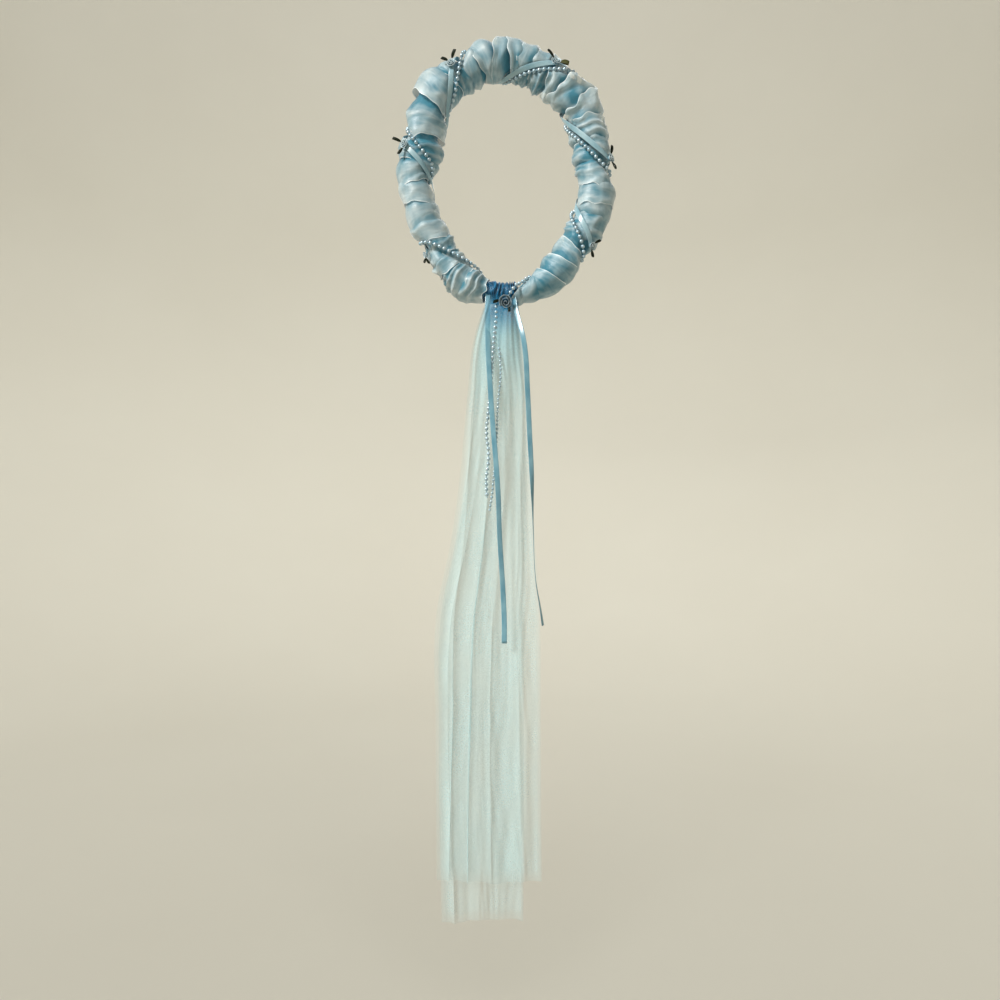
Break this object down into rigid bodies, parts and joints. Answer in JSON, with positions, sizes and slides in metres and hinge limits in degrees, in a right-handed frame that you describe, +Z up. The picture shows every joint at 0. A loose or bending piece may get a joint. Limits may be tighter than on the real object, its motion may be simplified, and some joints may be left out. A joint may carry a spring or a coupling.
{
  "type": "flower crown with veil",
  "caption": "Oval head wreath of gathered organza wound with satin ribbon and pearls, set with small ribbon roses, with a long two-layer tulle veil and free ribbon and pearl ends.",
  "frame": {"origin": "the point inside the top of the crown where a nail or hook carries it, halfway through its depth", "axes": "+Z up, -Y to the front, +X to the right as seen from the front"},
  "size_m": [0.2281, 0.0473, 0.8849],
  "materials": {
    "core": "plain wound cloth over a wire hoop",
    "organza": "sheer gathered organza with a soft shine",
    "satin": "smooth satin ribbon",
    "pearl": "pearly moulded beads",
    "header": "tightly gathered tulle in many layers",
    "tulle": "fine soft net, see-through",
    "rose": "coiled satin ribbon",
    "leaf": "dark green ribbon loops"
  },
  "bodies": {
    "root": {"ring_core": "core", "organza_wrap": "organza", "satin_ribbon": "satin", "pearl_string": "pearl", "veil_header": "header", "veil_front": "tulle", "veil_back": "tulle", "ribbon_tail_left": "satin", "ribbon_tail_right": "satin", "pearl_tail_left": "pearl", "pearl_tail_right": "pearl", "rose_1": "rose", "rose_2": "rose", "rose_3": "rose", "rose_4": "rose", "rose_5": "rose", "rose_6": "rose", "rose_7": "rose", "leaf_1_1": "leaf", "leaf_1_2": "leaf", "leaf_2_1": "leaf", "leaf_2_2": "leaf", "leaf_3_1": "leaf", "leaf_3_2": "leaf", "leaf_4_1": "leaf", "leaf_4_2": "leaf", "leaf_5_1": "leaf", "leaf_5_2": "leaf", "leaf_6_1": "leaf", "leaf_6_2": "leaf", "leaf_7_1": "leaf", "leaf_7_2": "leaf"}
  },
  "joints": []
}
